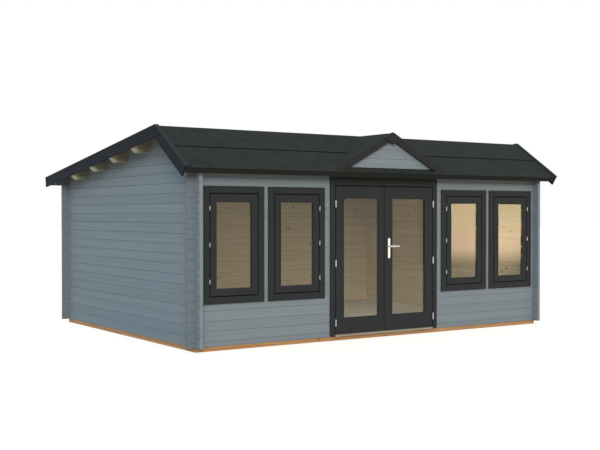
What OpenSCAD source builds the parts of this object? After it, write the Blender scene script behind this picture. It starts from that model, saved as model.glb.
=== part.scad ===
// Log-built garden house with an off-centre gable roof, a glazed double door under
// a small gable, and two pairs of casement windows.
// Millimetres, +Z up, +X to the right, +Y to the back. The origin lies on the
// ground, at the centre of the roof's plan.

/* [House] */
// Distance from the outer windows' trim to the side walls' outer faces
window_corner_gap = 90; // [60:1:200]
// Distance from the door's trim to the inner windows' trim
door_window_gap = 78; // [40:1:200]
// Distance between the trims of two windows side by side
window_pair_gap = 56; // [30:1:150]
// Depth over the outer faces of the front and back walls
wall_depth = 3800; // [3500:10:4200]
// Length of the log ends beyond the crossing wall
log_end = 100; // [60:5:130]

/* [Logs] */
// Thickness of a log
log_t = 44; // [40:1:50]
// Wall height that each log covers
log_h = 114; // [110:1:118]
// Gap between one log and the next
log_gap = 0.4; // [0.2:0.1:0.8]
// Chamfer along the edges of a log
log_chamfer = 4; // [2:0.5:6]
// Width of the tongue on top of a log
tongue_w = 16; // [10:1:20]
// Height of the tongue on top of a log
tongue_h = 8; // [5:1:10]
// Clearance between a tongue and its groove
tongue_gap = 0.5; // [0.3:0.1:1]
// Clearance in the corner notches
notch_gap = 0.4; // [0.2:0.1:0.8]
// Least height left at the tip of a log that runs out under the roof
tip_min = 12; // [8:1:20]
// Least length left of a log's tip beside a purlin
tip_len = 40; // [20:1:60]

/* [Foundation and floor] */
// Height of the foundation beams
beam_h = 48; // [40:1:70]
// Width of the foundation beams
beam_w = 70; // [50:1:95]
// Distance of the foundation beams behind the wall face
beam_inset = 5; // [0:1:15]
// Number of bearers between the end beams
bearers = 6; // [4:1:9]
// Thickness of the floor deck
floor_t = 26; // [18:1:32]
// Gap between the floor deck and the walls
floor_gap = 10; // [5:1:15]

/* [Roof] */
// Height of the felt over the doorway's top at the front wall face
felt_over_door = 226; // [200:1:280]
// Distance of the ridge behind the front wall face
ridge_y = 543; // [500:1:600]
// Pitch of the front slope in degrees
pitch_front = 33.7; // [32:0.1:35]
// Pitch of the back slope in degrees
pitch_back = 7.95; // [7.5:0.05:8.5]
// Reach of the roof in front of the front wall face
eave_front = 200; // [170:1:240]
// Reach of the roof behind the back wall face
eave_back = 296; // [250:1:340]
// Reach of the roof boards past the side wall faces
side_over = 206; // [170:1:240]
// Thickness of the roof boards
board_t = 18; // [16:1:20]
// Thickness of the roofing felt
felt_t = 4; // [3:0.5:5]
// Reach of the felt past the face of a fascia
felt_drip = 5; // [3:1:10]
// Thickness of a fascia
fascia_t = 18; // [15:1:22]
// Height of the front fascia, which stands square to the slope
fascia_h = 64; // [50:1:85]
// Height of the back fascia, which stands square to the slope
back_fascia_h = 92; // [60:1:110]
// Thickness of a barge board
barge_t = 20; // [16:1:24]
// Height of a barge board
barge_h = 120; // [100:1:140]
// Gap between the two barge boards of a gable where they meet at the ridge
barge_joint = 6; // [2:1:10]
// Width of the cap strip on a barge board
cap_w = 48; // [36:1:60]
// Thickness of the cap strip
cap_t = 18; // [12:1:22]
// Reach of the cap strip past the face of the barge board
cap_over = 2; // [0:0.5:5]

/* [Purlins] */
// Number of purlins under the back slope
purlins_back = 4; // [3:1:5]
// Distance of the first purlin behind the ridge
purlin_from_ridge = 664; // [550:1:750]
// Distance of the last purlin before the back wall face
purlin_from_back = 682; // [550:1:800]
// Width of a purlin
purlin_w = 100; // [70:1:110]
// Height of a purlin
purlin_h = 155; // [130:1:170]
// Reach of the ridge purlin behind the ridge
ridge_purlin_back = 28; // [20:1:40]
// Height and length of the cut under a purlin's end
purlin_cut = 56; // [30:1:80]
// Clearance beside a purlin in the gable
purlin_gap = 0.5; // [0.3:0.1:1]

/* [Small gable over the door] */
// Pitch of the small gable in degrees
dormer_pitch = 28.1; // [26:0.1:30]
// Distance of its barge boards in front of the front wall face
dormer_front = 151; // [130:1:165]
// Height of its barge boards
dormer_barge_h = 84; // [65:1:95]
// Thickness of its barge boards
dormer_barge_t = 20; // [16:1:24]
// Rise of its barge boards above the felt
dormer_barge_rise = 6; // [4:1:14]
// Height of the diamond-shaped cover over the top of its barge boards
dormer_cover_h = 147; // [120:1:170]
// Thickness of that cover
dormer_cover_t = 16; // [12:1:20]
// Distance of the panel's face behind its barge boards
dormer_recess = 21; // [10:1:30]
// Thickness of the panel
dormer_panel_t = 22; // [18:1:28]

/* [Windows] */
// Number of full logs below a window
window_first = 4; // [3:1:5]
// Number of logs that a window is high
window_logs = 11; // [10:1:11]
// Width of a sash
sash_w = 625; // [560:1:650]
// Thickness of a sash
sash_t = 40; // [34:1:46]
// Gap round a sash
sash_gap = 6; // [4:0.5:8]
// Depth of a sash behind the face of the trim
sash_inset = 2; // [1:1:10]
// Width of a sash stile
sash_stile = 86.5; // [60:0.5:100]
// Height of a sash's top rail
sash_top = 93.5; // [60:0.5:110]
// Height of a sash's bottom rail
sash_bottom = 82.5; // [60:0.5:110]
// Width of a window frame at the sides
window_jamb = 31.5; // [25:0.5:40]
// Height of a window frame's head
window_head = 57.5; // [40:0.5:65]
// Height of a window frame's sill
window_sill = 38.5; // [30:0.5:50]
// Depth of the window and door frames
frame_depth = 70; // [60:1:90]
// Width of the stop behind a sash or a door leaf
stop_w = 14; // [10:1:18]
// Width of a window trim board
window_trim = 77.5; // [65:0.5:85]
// Thickness of the trim boards
trim_t = 18; // [14:1:22]
// Width of the eased edge along the front of a trim board
trim_ease = 2.5; // [1:0.5:4]
// Thickness of a pane
pane_t = 6; // [4:1:10]
// Depth of a pane behind the face of its sash or leaf
pane_inset = 9; // [6:1:14]
// Depth of a pane's edge in its groove
pane_edge = 10; // [6:1:14]
// Radius of a window hinge's knuckle
window_knuckle = 4.5; // [3.5:0.5:6]
// Height of a window hinge's knuckle
window_knuckle_h = 46; // [30:1:60]
// Height of the tips of the hinges
hinge_tip = 4; // [3:0.5:6]
// Depth of the groove between the barrels of a window hinge
hinge_groove = 1; // [0.5:0.5:1.5]
// Thickness of a window hinge's flap
window_flap_t = 2; // [1.5:0.5:2.5]
// Depth of a window hinge's flap behind the trim's face
window_flap_depth = 20; // [12:1:24]
// Distance from the sash's ends to the outer hinges
window_hinge_in = 165; // [120:1:220]

/* [Door] */
// Half of the width over both leaves
door_half = 765; // [720:1:790]
// Number of full logs that the doorway is high
door_logs = 16; // [15:1:16]
// Thickness of a leaf
leaf_t = 42; // [38:1:48]
// Depth of a leaf behind the face of the trim
leaf_inset = 4; // [2:1:8]
// Gap between a leaf and the frame at the hinges
hinge_gap = 6; // [6:0.5:8]
// Gap between the two leaves
meet_gap = 10; // [9:0.5:14]
// Gap over the leaves
leaf_top_gap = 6; // [5:0.5:10]
// Gap under the leaves
leaf_floor_gap = 8; // [6:0.5:14]
// Gap between the back of a leaf and the stop
stop_gap = 6; // [5:0.5:10]
// Width of a leaf's stile
door_stile = 126; // [100:1:140]
// Width of the left leaf's meeting stile
meet_stile = 82; // [70:1:110]
// Height of a leaf's top rail
door_top = 152; // [120:1:170]
// Height of a leaf's bottom rail
door_bottom = 188; // [150:1:260]
// Width of the door frame's jambs
door_jamb = 44; // [36:1:50]
// Height of the door frame's head
door_head = 59; // [45:1:70]
// Width of a door trim board
door_trim = 71; // [60:1:80]
// Height of the trim board over the door
door_head_trim = 96; // [80:1:110]
// Height of the trim boards' foot above the foundation
door_trim_foot = 12; // [5:1:20]
// Height of the threshold
threshold_h = 26; // [18:1:32]
// Reach of the threshold in front of the wall face
threshold_front = 26; // [10:1:40]
// Fall of the threshold's nosing
nosing_fall = 6; // [3:1:10]
// Depth of the threshold's nosing
nosing_depth = 20; // [12:1:30]
// Distance of the lowest door hinge above a leaf's foot
hinge_from_foot = 133; // [100:1:220]
// Distance of the highest door hinge below a leaf's top
hinge_from_top = 218; // [150:1:300]
// Radius of a door hinge's knuckle
knuckle_r = 6.5; // [5.5:0.5:7]
// Height of one half of a door hinge
knuckle_h = 40; // [30:1:50]
// Distance of the hinge axis in front of the trim
knuckle_out = 8; // [7.5:0.5:10]
// Radius of a hinge pin
pin_r = 3; // [2.5:0.5:3.5]
// Clearance round a hinge pin
pin_gap = 0.3; // [0.2:0.1:0.5]
// Thickness of a hinge flap
flap_t = 2; // [1.5:0.5:2]
// Depth of a hinge flap behind the trim's face
flap_depth = 30; // [20:1:34]

/* [Handle] */
// Distance of the handle from the right leaf's meeting edge
handle_in = 67; // [50:1:80]
// Height of the handle plate's middle
handle_z = 1049; // [980:1:1100]
// Height of the lever above the plate's middle
lever_up = 25; // [10:1:50]
// Width of a handle plate
plate_w = 34; // [30:1:42]
// Height of a handle plate
plate_h = 250; // [200:1:270]
// Thickness of a handle plate
plate_t = 8; // [5:1:10]
// Radius of the spindle
spindle_r = 4.5; // [4:0.5:5]
// Clearance round the spindle
spindle_gap = 1; // [0.5:0.5:1.5]
// Radius of the lever's neck
neck_r = 9; // [8:0.5:11]
// Reach of the lever from the plate
lever_out = 44; // [36:1:55]
// Radius of the lever
lever_r = 8; // [7:0.5:8.5]
// Length of the lever from its spindle
lever_len = 134; // [110:1:145]
// Gap between the lever's neck and the plate
neck_gap = 0.5; // [0.3:0.1:1]

/* [Seats] */
// Clearance between a piece and the piece that it lies on
seat = 0.2; // [0.1:0.05:0.3]
// Clearance where two boards meet end to edge
joint_gap = 0.4; // [0.3:0.1:0.8]
// Clearance between a frame and its opening
fit_gap = 0.4; // [0.3:0.1:0.8]

/* [Hidden] */
$fn = 48;
quarter = log_h / 4;
function row_z(i) = i < 0 ? 0 : log_h / 2 + i * log_h;
function row_h(i) = i < 0 ? log_h / 2 : log_h;

// Plan of the front wall, from the middle to the corner
jamb_x = door_half + hinge_gap;
window_half = sash_w / 2 + sash_gap + window_trim;
window_inner = jamb_x + door_trim + door_window_gap + window_half;
window_outer = window_inner + 2 * window_half + window_pair_gap;
half_w = window_outer + window_half + window_corner_gap;
front_y = -(wall_depth + eave_back - eave_front) / 2;

// Roof lines, as heights above the underside of the logs
tf = tan(pitch_front);
tb = tan(pitch_back);
cf = cos(pitch_front);
cb = cos(pitch_back);
sf = sin(pitch_front);
sb = sin(pitch_back);
rough_top = row_z(door_logs);
ridge_h = rough_top + felt_over_door + tf * ridge_y;
function felt_f(y) = ridge_h - tf * (ridge_y - y);
function felt_b(y) = ridge_h - tb * (y - ridge_y);
function deck_f(y) = felt_f(y) - felt_t / cf;
function deck_b(y) = felt_b(y) - felt_t / cb;
function under_f(y) = deck_f(y) - board_t / cf;
function under_b(y) = deck_b(y) - board_t / cb;
roof_x = half_w + side_over;
back_y = wall_depth + eave_back;
felt_end = back_y - cap_t * sb;

// Points in Y and Z on the two slopes: s up the slope from the felt's edge, n below the felt's face
function front_at(s, n) = [-eave_front + s * cf + n * sf, felt_f(-eave_front) + s * sf - n * cf];
function back_at(s, n) = [felt_end - s * cb - n * sb, felt_b(felt_end) + s * sb - n * cb];
function fascia_corners(h) = [[felt_drip, felt_t + seat], [felt_drip + fascia_t - seat, felt_t + seat],
    [felt_drip + fascia_t - seat, felt_t + h], [felt_drip, felt_t + h]];

// Logs in each wall, counted above the half log at the front and the back
least_log = 0.15;
n_front = ceil((under_f(log_t) - log_h / 2) / log_h - least_log);
n_back = ceil((under_b(wall_depth - log_t) - log_h / 2) / log_h - least_log);
n_side = ceil((under_f(ridge_y) - tip_min) / log_h);
front_runs_out = under_f(0) - (n_front * log_h + quarter) < tip_min;
back_runs_out = under_b(wall_depth) - (n_back * log_h + quarter) < tip_min;

// Purlins
purlin_first = ridge_y + purlin_from_ridge;
purlin_pitch = (wall_depth - purlin_from_back - purlin_first) / (purlins_back - 1);
function purlin_y(n) = purlin_first + n * purlin_pitch;
function purlin_z(n) = under_b(purlin_y(n)) - purlin_h;
ridge_purlin_y1 = ridge_y + ridge_purlin_back;
ridge_purlin_y0 = ridge_purlin_y1 - purlin_w;
ridge_purlin_z = under_b(ridge_purlin_y1) - purlin_h;

// Windows
window_x = [-window_outer, -window_inner, window_inner, window_outer];
window_side = [-1, 1, -1, 1];
rough_w = sash_w + 2 * (sash_gap + window_jamb + fit_gap);
rough_z0 = row_z(window_first);
rough_z1 = rough_z0 + window_logs * log_h;
sash_z0 = rough_z0 + window_sill + sash_gap;
sash_z1 = rough_z1 - window_head - sash_gap;
sash_y0 = -trim_t + sash_inset;
sash_y1 = sash_y0 + sash_t;

// Door
rough_half = door_half + hinge_gap + door_jamb + fit_gap;
head_z = rough_top - door_head;
leaf_z0 = threshold_h + leaf_floor_gap;
leaf_z1 = head_z - leaf_top_gap;
leaf_y0 = -trim_t + leaf_inset;
leaf_y1 = leaf_y0 + leaf_t;
door_glass = (2 * door_half - meet_gap - 3 * door_stile - meet_stile) / 2;
left_x1 = -door_half + door_stile + door_glass + meet_stile;
right_x0 = left_x1 + meet_gap;
axis_x = door_half + hinge_gap / 2;
axis_y = -trim_t - knuckle_out;
hinge_low = leaf_z0 + hinge_from_foot;
hinge_high = leaf_z1 - hinge_from_top;
hinge_z = [hinge_low, (hinge_low + hinge_high) / 2, hinge_high];
handle_x = right_x0 + handle_in;
lever_z = handle_z + lever_up;

// Small gable
td = tan(dormer_pitch);
cd = cos(dormer_pitch);
dormer_reach = (ridge_h - felt_f(-dormer_front) + 2 * dormer_barge_h) / td;
panel_y0 = -dormer_front + dormer_barge_t + dormer_recess;
panel_z0 = felt_f(panel_y0);
function dormer_under(x) = ridge_h - td * abs(x) - (felt_t + board_t) / cd;

// Paint and timber colours
paint_wall = [0.47, 0.53, 0.56];
paint_dark = [0.20, 0.21, 0.21];
timber = [0.72, 0.55, 0.36];
pine = [0.80, 0.68, 0.48];
felt = [0.22, 0.24, 0.235];
metal = [0.80, 0.80, 0.79];
pane = [0.55, 0.65, 0.68];
sill = [0.72, 0.71, 0.66];

// Work from the front wall's outer face and the underside of the logs
module house() {
    translate([0, front_y, beam_h]) children();
}

module block(a, b) {
    translate(a) cube(b - a);
}

// An outline in Y and Z, drawn out along X
module along_x(x0, x1) {
    translate([x0, 0, 0]) rotate([90, 0, 90]) linear_extrude(height = x1 - x0) children();
}

// An outline in X and Z, drawn out along Y
module along_y(y0, y1) {
    translate([0, y1, 0]) rotate([90, 0, 0]) linear_extrude(height = y1 - y0) children();
}

// Section of a log or board: chamfered edges, groove below, tongue above
function log_section(t, h, groove, tongue) =
    let (top = h - log_gap, c = log_chamfer,
         a = (t - tongue_w) / 2, b = (t + tongue_w) / 2,
         g = tongue_gap, deep = tongue_h + tongue_gap)
    concat(
        [[c, 0]],
        groove ? [[a - g, 0], [a - g, deep], [b + g, deep], [b + g, 0]] : [],
        [[t - c, 0], [t, c], [t, top - c], [t - c, top]],
        tongue ? [[b, top], [b, top + tongue_h], [a, top + tongue_h], [a, top]] : [],
        [[c, top], [0, top - c], [0, c]]);

// Log along X whose outer or inner face is at y
module log_x(i, x0, x1, y, last) {
    translate([0, y, row_z(i)]) along_x(x0, x1) polygon(log_section(log_t, row_h(i), i >= 0, !last));
}

// Notches of a log along X where it crosses the side walls
module notches_x(i, y, top) {
    z = row_z(i);
    for (x = [-half_w, half_w - log_t]) {
        if (i >= 0) block([x - notch_gap, y - 1, z - 1],
            [x + log_t + notch_gap, y + log_t + 1, z + quarter + notch_gap / 2]);
        if (top) block([x - notch_gap, y - 1, z + row_h(i) - quarter - notch_gap / 2],
            [x + log_t + notch_gap, y + log_t + 1, z + row_h(i) + tongue_h + 1]);
    }
}

// Everything above the underside of the roof boards
module roof_space() {
    far = back_y + eave_back;
    near = -2 * eave_front;
    top = ridge_h + purlin_h;
    along_x(-roof_x, roof_x) polygon([
        [near, under_f(near) - seat], [ridge_y, under_f(ridge_y) - seat],
        [ridge_y, under_b(ridge_y) - seat], [far, under_b(far) - seat],
        [far, top], [near, top]]);
}

// Everything below the felt of the front slope
module below_front_felt() {
    near = -2 * eave_front;
    far = 2 * ridge_y;
    along_x(-roof_x, roof_x) polygon([
        [near, felt_f(near) + seat], [far, felt_f(far) + seat], [far, 0], [near, 0]]);
}

// Front wall beside the doorway: side is -1 for the left and 1 for the right
module front_wall_side(side) {
    x0 = side < 0 ? -half_w - log_end : rough_half;
    x1 = side < 0 ? -rough_half : half_w + log_end;
    for (i = [-1 : door_logs - 1]) difference() {
        log_x(i, x0, x1, 0, false);
        notches_x(i, 0, true);
        window_cuts(i, side);
    }
}

// Openings for the windows on one side of the door, where they cross log i
module window_cuts(i, side) {
    if (i >= window_first - 1 && i < window_first + window_logs)
        for (x = window_x) if (x * side > 0)
            block([x - rough_w / 2, -1, rough_z0 - log_gap],
                [x + rough_w / 2, log_t + 1, rough_z1 + tongue_h + 1]);
}

// First and last Y of a gable log, kept blunt where the roof cuts it off
function gable_y0(k) =
    let (z = k * log_h + tip_min, tip = ridge_y - (under_f(ridge_y) - z) / tf,
         y = max(-log_end, tip))
    y > ridge_purlin_y0 - tip_len ? (ridge_purlin_y0 + ridge_purlin_y1) / 2 : y;
function gable_tip(k) =
    min(wall_depth + log_end, ridge_y + (under_b(ridge_y) - k * log_h - tip_min) / tb);
function gable_y1(k) =
    let (y = gable_tip(k),
         near = [for (n = [0 : purlins_back - 1])
             if (y > purlin_y(n) - purlin_w / 2 && y < purlin_y(n) + purlin_w / 2 + tip_len) purlin_y(n)])
    len(near) > 0 ? near[0] : y;

// Slots in a gable log for the purlins that pass through it
module purlin_slots(x, z, top) {
    for (n = [0 : purlins_back - 1]) {
        y = purlin_y(n);
        if (top > purlin_z(n) && z < under_b(y - purlin_w / 2))
            block([x - 1, y - purlin_w / 2 - purlin_gap, purlin_z(n)],
                [x + log_t + 1, y + purlin_w / 2 + purlin_gap, ridge_h]);
    }
    if (top > ridge_purlin_z)
        block([x - 1, ridge_purlin_y0 - purlin_gap, ridge_purlin_z],
            [x + log_t + 1, ridge_purlin_y1 + purlin_gap, ridge_h]);
}

// Gable wall whose left face is at x
module side_wall(x) {
    for (k = [0 : n_side - 1]) {
        z = k * log_h;
        top = z + log_h + tongue_h;
        difference() {
            translate([x, 0, z]) along_y(gable_y0(k), gable_y1(k))
                polygon(log_section(log_t, log_h, k > 0, k < n_side - 1));
            if (k < n_front || (k == n_front && !front_runs_out)) crossing_notch(x, z, 0, k < n_front);
            if (k == n_front && front_runs_out)
                block([x - 1, -log_end - 1, z - 1], [x + log_t + 1, log_t + notch_gap, top + 1]);
            if (k < n_back || (k == n_back && !back_runs_out))
                crossing_notch(x, z, wall_depth - log_t, k < n_back);
            if (k == n_back && back_runs_out)
                block([x - 1, wall_depth - log_t - notch_gap, z - 1],
                    [x + log_t + 1, wall_depth + log_end + 1, top + 1]);
            if (top > under_f(-log_end) || top > under_b(wall_depth + log_end)) roof_space();
            purlin_slots(x, z, top);
        }
    }
}

// Notches of a gable log where it crosses the wall that stands at y
module crossing_notch(x, z, y, top) {
    block([x - 1, y - notch_gap, z - 1],
        [x + log_t + 1, y + log_t + notch_gap, z + quarter + notch_gap / 2]);
    if (top) block([x - 1, y - notch_gap, z + log_h - quarter - notch_gap / 2],
        [x + log_t + 1, y + log_t + notch_gap, z + log_h + tongue_h + 1]);
}

// Side view of a purlin with its ends cut back underneath
module purlin_outline(z) {
    reach = roof_x - joint_gap;
    c = purlin_cut;
    top = z + 2 * purlin_h;
    polygon([[-reach, z + c], [-reach + c, z], [reach - c, z], [reach, z + c], [reach, top], [-reach, top]]);
}

// Two upright boards with two boards between them
module four_boards(x0, x1, z0, z1, y0, y1, left, right, bottom, top) {
    block([x0, y0, z0], [x0 + left, y1, z1]);
    block([x1 - right, y0, z0], [x1, y1, z1]);
    if (bottom > 0) block([x0 + left + joint_gap, y0, z0], [x1 - right - joint_gap, y1, z0 + bottom]);
    if (top > 0) block([x0 + left + joint_gap, y0, z1 - top], [x1 - right - joint_gap, y1, z1]);
}

// Board section whose front edges are eased, from across 0 to w and from y0 to y1
module eased_section(w, y0, y1) {
    e = trim_ease;
    polygon([[0, y1], [0, y0 + e], [e, y0], [w - e, y0], [w, y0 + e], [w, y1]]);
}

// Trim round an opening: two uprights with boards between them, eased at the front
module trim_boards(x0, x1, z0, z1, y0, y1, side, bottom, top) {
    for (x = [x0, x1 - side])
        translate([x, 0, z0]) linear_extrude(height = z1 - z0) eased_section(side, y0, y1);
    for (row = [[bottom, z0], [top, z1 - top]]) if (row[0] > 0)
        translate([x0 + side + joint_gap, 0, row[1] + row[0]]) rotate([0, 90, 0])
            linear_extrude(height = x1 - x0 - 2 * (side + joint_gap)) eased_section(row[0], y0, y1);
}

// Edge of a pane's groove round an opening
module pane_block(x0, x1, z0, z1, y, grow) {
    e = pane_edge + grow;
    block([x0 - e, y - pane_t / 2 - grow, z0 - e], [x1 + e, y + pane_t / 2 + grow, z1 + e]);
}

// Barge board polygons in Y and Z: the back board runs through, the front one butts under it
hf = barge_h / cf;
hb = barge_h / cb;
module barge_back_outline() {
    y_top = back_y - cap_t * sb;
    y_low = back_y - (cap_t + barge_h) * sb;
    y_end = ridge_y - hb / (tf + tb);
    polygon([[ridge_y, ridge_h], [y_end, felt_f(y_end)],
        [y_low, felt_b(y_low) - hb], [y_top, felt_b(y_top)]]);
}
module barge_front_outline() {
    y_top = -eave_front + cap_t * sf;
    y_low = -eave_front + (cap_t + barge_h) * sf;
    y_end = ridge_y - (hb + barge_joint) / (tf + tb);
    y_in = ridge_y + (hf - hb - barge_joint) / (tf + tb);
    polygon([[y_end, felt_f(y_end)], [y_in, felt_f(y_in) - hf],
        [y_low, felt_f(y_low) - hf], [y_top, felt_f(y_top)]]);
}

// Cap strips in Y and Z, mitred at the ridge
module cap_outlines() {
    vf = cap_t / cf;
    vb = cap_t / cb;
    g = joint_gap / 2;
    dy = (vb - vf) / (tf + tb);
    y_f = -eave_front + (cap_t - seat) * sf;
    y_b = back_y - (cap_t - seat) * sb;
    polygon([[ridge_y - g, felt_f(ridge_y - g) + seat / cf],
        [ridge_y + dy - g, felt_f(ridge_y + dy - g) + vf],
        [-eave_front, felt_f(-eave_front) + vf], [y_f, felt_f(y_f) + seat / cf]]);
    polygon([[ridge_y + g, felt_b(ridge_y + g) + seat / cb],
        [ridge_y + dy + g, felt_b(ridge_y + dy + g) + vb],
        [back_y, felt_b(back_y) + vb], [y_b, felt_b(y_b) + seat / cb]]);
}

// Slope of the small gable on one side, between two depths under its felt
module dormer_slope(side, from, to, y0) {
    reach = dormer_reach;
    g = joint_gap / 2;
    difference() {
        along_y(y0, ridge_y + purlin_w / 2) polygon([
            [side * g, ridge_h - td * g - from / cd], [side * reach, ridge_h - td * reach - from / cd],
            [side * reach, ridge_h - td * reach - to / cd], [side * g, ridge_h - td * g - to / cd]]);
        below_front_felt();
    }
}

module foundation_long_beams() {
    color(timber) house() for (y = [beam_inset, wall_depth - beam_inset - beam_w])
        block([-half_w + beam_inset, y, -beam_h], [half_w - beam_inset, y + beam_w, 0]);
}

module foundation_end_beams() {
    y0 = beam_inset + beam_w + joint_gap;
    color(timber) house() for (x = [-half_w + beam_inset, half_w - beam_inset - beam_w])
        block([x, y0, -beam_h], [x + beam_w, wall_depth - y0, 0]);
}

module floor_bearers() {
    y0 = beam_inset + beam_w + joint_gap;
    span = 2 * (half_w - beam_inset - beam_w / 2);
    color(timber) house() for (n = [1 : bearers]) {
        x = -span / 2 + n * span / (bearers + 1) - beam_w / 2;
        block([x, y0, -beam_h], [x + beam_w, wall_depth - y0, 0]);
    }
}

module floor_deck() {
    color(pine) house() block([-half_w + log_t + floor_gap, frame_depth + floor_gap, 0],
        [half_w - log_t - floor_gap, wall_depth - log_t - floor_gap, floor_t]);
}

module front_wall_left() {
    color(paint_wall) house() front_wall_side(-1);
}

module front_wall_right() {
    color(paint_wall) house() front_wall_side(1);
}

module front_wall_over_door() {
    color(paint_wall) house() for (i = [door_logs : n_front - 1]) difference() {
        log_x(i, -half_w - log_end, half_w + log_end, 0, i == n_front - 1);
        notches_x(i, 0, i < n_front - 1 || !front_runs_out);
        for (side = [-1, 1]) window_cuts(i, side);
        if (row_z(i) + log_h + tongue_h > under_f(0)) roof_space();
    }
}

module back_wall() {
    y = wall_depth - log_t;
    color(paint_wall) house() for (i = [-1 : n_back - 1]) difference() {
        reach = i == n_back - 1 ? roof_x - joint_gap : half_w + log_end;
        log_x(i, -reach, reach, y, i == n_back - 1);
        notches_x(i, y, i < n_back - 1 || !back_runs_out);
        if (row_z(i) + log_h + tongue_h > under_b(wall_depth)) roof_space();
    }
}

module left_wall() {
    color(paint_wall) house() side_wall(-half_w);
}

module right_wall() {
    color(paint_wall) house() side_wall(half_w - log_t);
}

module purlins() {
    color(pine) house() for (n = [0 : purlins_back - 1]) {
        y0 = purlin_y(n) - purlin_w / 2;
        y1 = purlin_y(n) + purlin_w / 2;
        z = purlin_z(n);
        intersection() {
            along_x(-roof_x, roof_x)
                polygon([[y0, z], [y1, z], [y1, under_b(y1) - seat], [y0, under_b(y0) - seat]]);
            along_y(y0 - 1, y1 + 1) purlin_outline(z);
        }
    }
}

module ridge_purlin() {
    y0 = ridge_purlin_y0;
    y1 = ridge_purlin_y1;
    z = ridge_purlin_z;
    color(pine) house() intersection() {
        along_x(-roof_x, roof_x) polygon([[y0, z], [y1, z], [y1, under_b(y1) - seat],
            [ridge_y, under_b(ridge_y) - seat], [ridge_y, under_f(ridge_y) - seat],
            [y0, under_f(y0) - seat]]);
        along_y(y0 - 1, y1 + 1) purlin_outline(z);
    }
}

module roof_boards_front() {
    s = felt_drip + fascia_t;
    x = roof_x - joint_gap;
    color(pine) house() along_x(-x, x) polygon([front_at(s, felt_t + board_t), [ridge_y, under_f(ridge_y)],
        [ridge_y, deck_f(ridge_y)], front_at(s, felt_t)]);
}

module roof_boards_back() {
    s = felt_drip + fascia_t;
    y0 = ridge_y + joint_gap;
    x = roof_x - joint_gap;
    color(pine) house() along_x(-x, x)
        polygon([[y0, under_b(y0)], back_at(s, felt_t + board_t), back_at(s, felt_t), [y0, deck_b(y0)]]);
}

module roof_felt_front() {
    x = roof_x - joint_gap;
    color(felt) house() along_x(-x, x) polygon([front_at(0, felt_t - seat),
        [ridge_y, deck_f(ridge_y) + seat / cf], [ridge_y, felt_f(ridge_y)], front_at(0, 0)]);
}

module roof_felt_back() {
    y0 = ridge_y + joint_gap;
    x = roof_x - joint_gap;
    color(felt) house() along_x(-x, x)
        polygon([[y0, deck_b(y0) + seat / cb], back_at(0, felt_t - seat), back_at(0, 0), [y0, felt_b(y0)]]);
}

module front_fascia() {
    x = roof_x - joint_gap;
    color(paint_dark) house() along_x(-x, x)
        polygon([for (p = fascia_corners(fascia_h)) front_at(p[0], p[1])]);
}

module back_fascia() {
    x = roof_x - joint_gap;
    color(paint_dark) house() along_x(-x, x)
        polygon([for (p = fascia_corners(back_fascia_h)) back_at(p[0], p[1])]);
}

module left_barge_front() {
    color(paint_dark) house() along_x(-roof_x - barge_t, -roof_x) barge_front_outline();
}

module left_barge_back() {
    color(paint_dark) house() along_x(-roof_x - barge_t, -roof_x) barge_back_outline();
}

module right_barge_front() {
    color(paint_dark) house() along_x(roof_x, roof_x + barge_t) barge_front_outline();
}

module right_barge_back() {
    color(paint_dark) house() along_x(roof_x, roof_x + barge_t) barge_back_outline();
}

module barge_caps() {
    outer = roof_x + barge_t + cap_over;
    color(paint_dark) house() {
        along_x(-outer, -outer + cap_w) cap_outlines();
        along_x(outer - cap_w, outer) cap_outlines();
    }
}

module dormer_panel() {
    y0 = panel_y0;
    y1 = y0 + dormer_panel_t;
    top = dormer_under(0) - seat / cd;
    rows = ceil((top - panel_z0 - tip_min) / log_h);
    color(paint_wall) house() for (n = [0 : rows - 1]) difference() {
        intersection() {
            translate([0, y0, panel_z0 + n * log_h]) along_x(-dormer_reach, dormer_reach)
                polygon(log_section(dormer_panel_t, log_h, false, false));
            along_y(y0 - 1, y1 + 1) polygon([
                [-dormer_reach, top - td * dormer_reach], [0, top], [dormer_reach, top - td * dormer_reach]]);
        }
        below_front_felt();
    }
}

module dormer_boards() {
    y0 = -dormer_front + dormer_barge_t + seat;
    color(pine) house() for (s = [-1, 1]) dormer_slope(s, felt_t + seat, felt_t + board_t, y0);
}

module dormer_felt() {
    y0 = -dormer_front + dormer_barge_t + seat;
    color(felt) house() for (s = [-1, 1]) dormer_slope(s, 0, felt_t, y0);
}

// Barge boards mitred at the top, with a diamond-shaped cover over the mitre
module dormer_barges() {
    h = dormer_barge_h / cd;
    top = ridge_h + dormer_barge_rise / cd;
    far = dormer_reach;
    g = joint_gap / 2;
    y0 = -dormer_front;
    half = dormer_cover_h / 2;
    color(paint_dark) house() {
        for (s = [-1, 1]) difference() {
            along_y(y0, y0 + dormer_barge_t) polygon([[s * g, top - td * g], [s * far, top - td * far],
                [s * far, top - td * far - h], [s * g, top - td * g - h]]);
            below_front_felt();
        }
        along_y(y0 - seat - dormer_cover_t, y0 - seat) polygon([[0, top], [half / td, top - half],
            [0, top - 2 * half], [-half / td, top - half]]);
    }
}

module window_trims() {
    color(paint_dark) house() for (x = window_x) {
        trim_boards(x - window_half, x + window_half, sash_z0 - sash_gap - window_trim,
            sash_z1 + sash_gap + window_trim, -trim_t, -seat, window_trim, window_trim, window_trim);
    }
}

module window_frames() {
    color(paint_dark) house() for (x = window_x) {
        w = rough_w / 2 - fit_gap;
        in = sash_w / 2 + sash_gap;
        difference() {
            four_boards(x - w, x + w, rough_z0 + fit_gap - log_gap, rough_z1 - fit_gap, 0, frame_depth,
                window_jamb + stop_w, window_jamb + stop_w, window_sill + stop_w, window_head + stop_w);
            block([x - in, -1, sash_z0 - sash_gap], [x + in, sash_y1 + seat, sash_z1 + sash_gap]);
        }
    }
}

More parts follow.
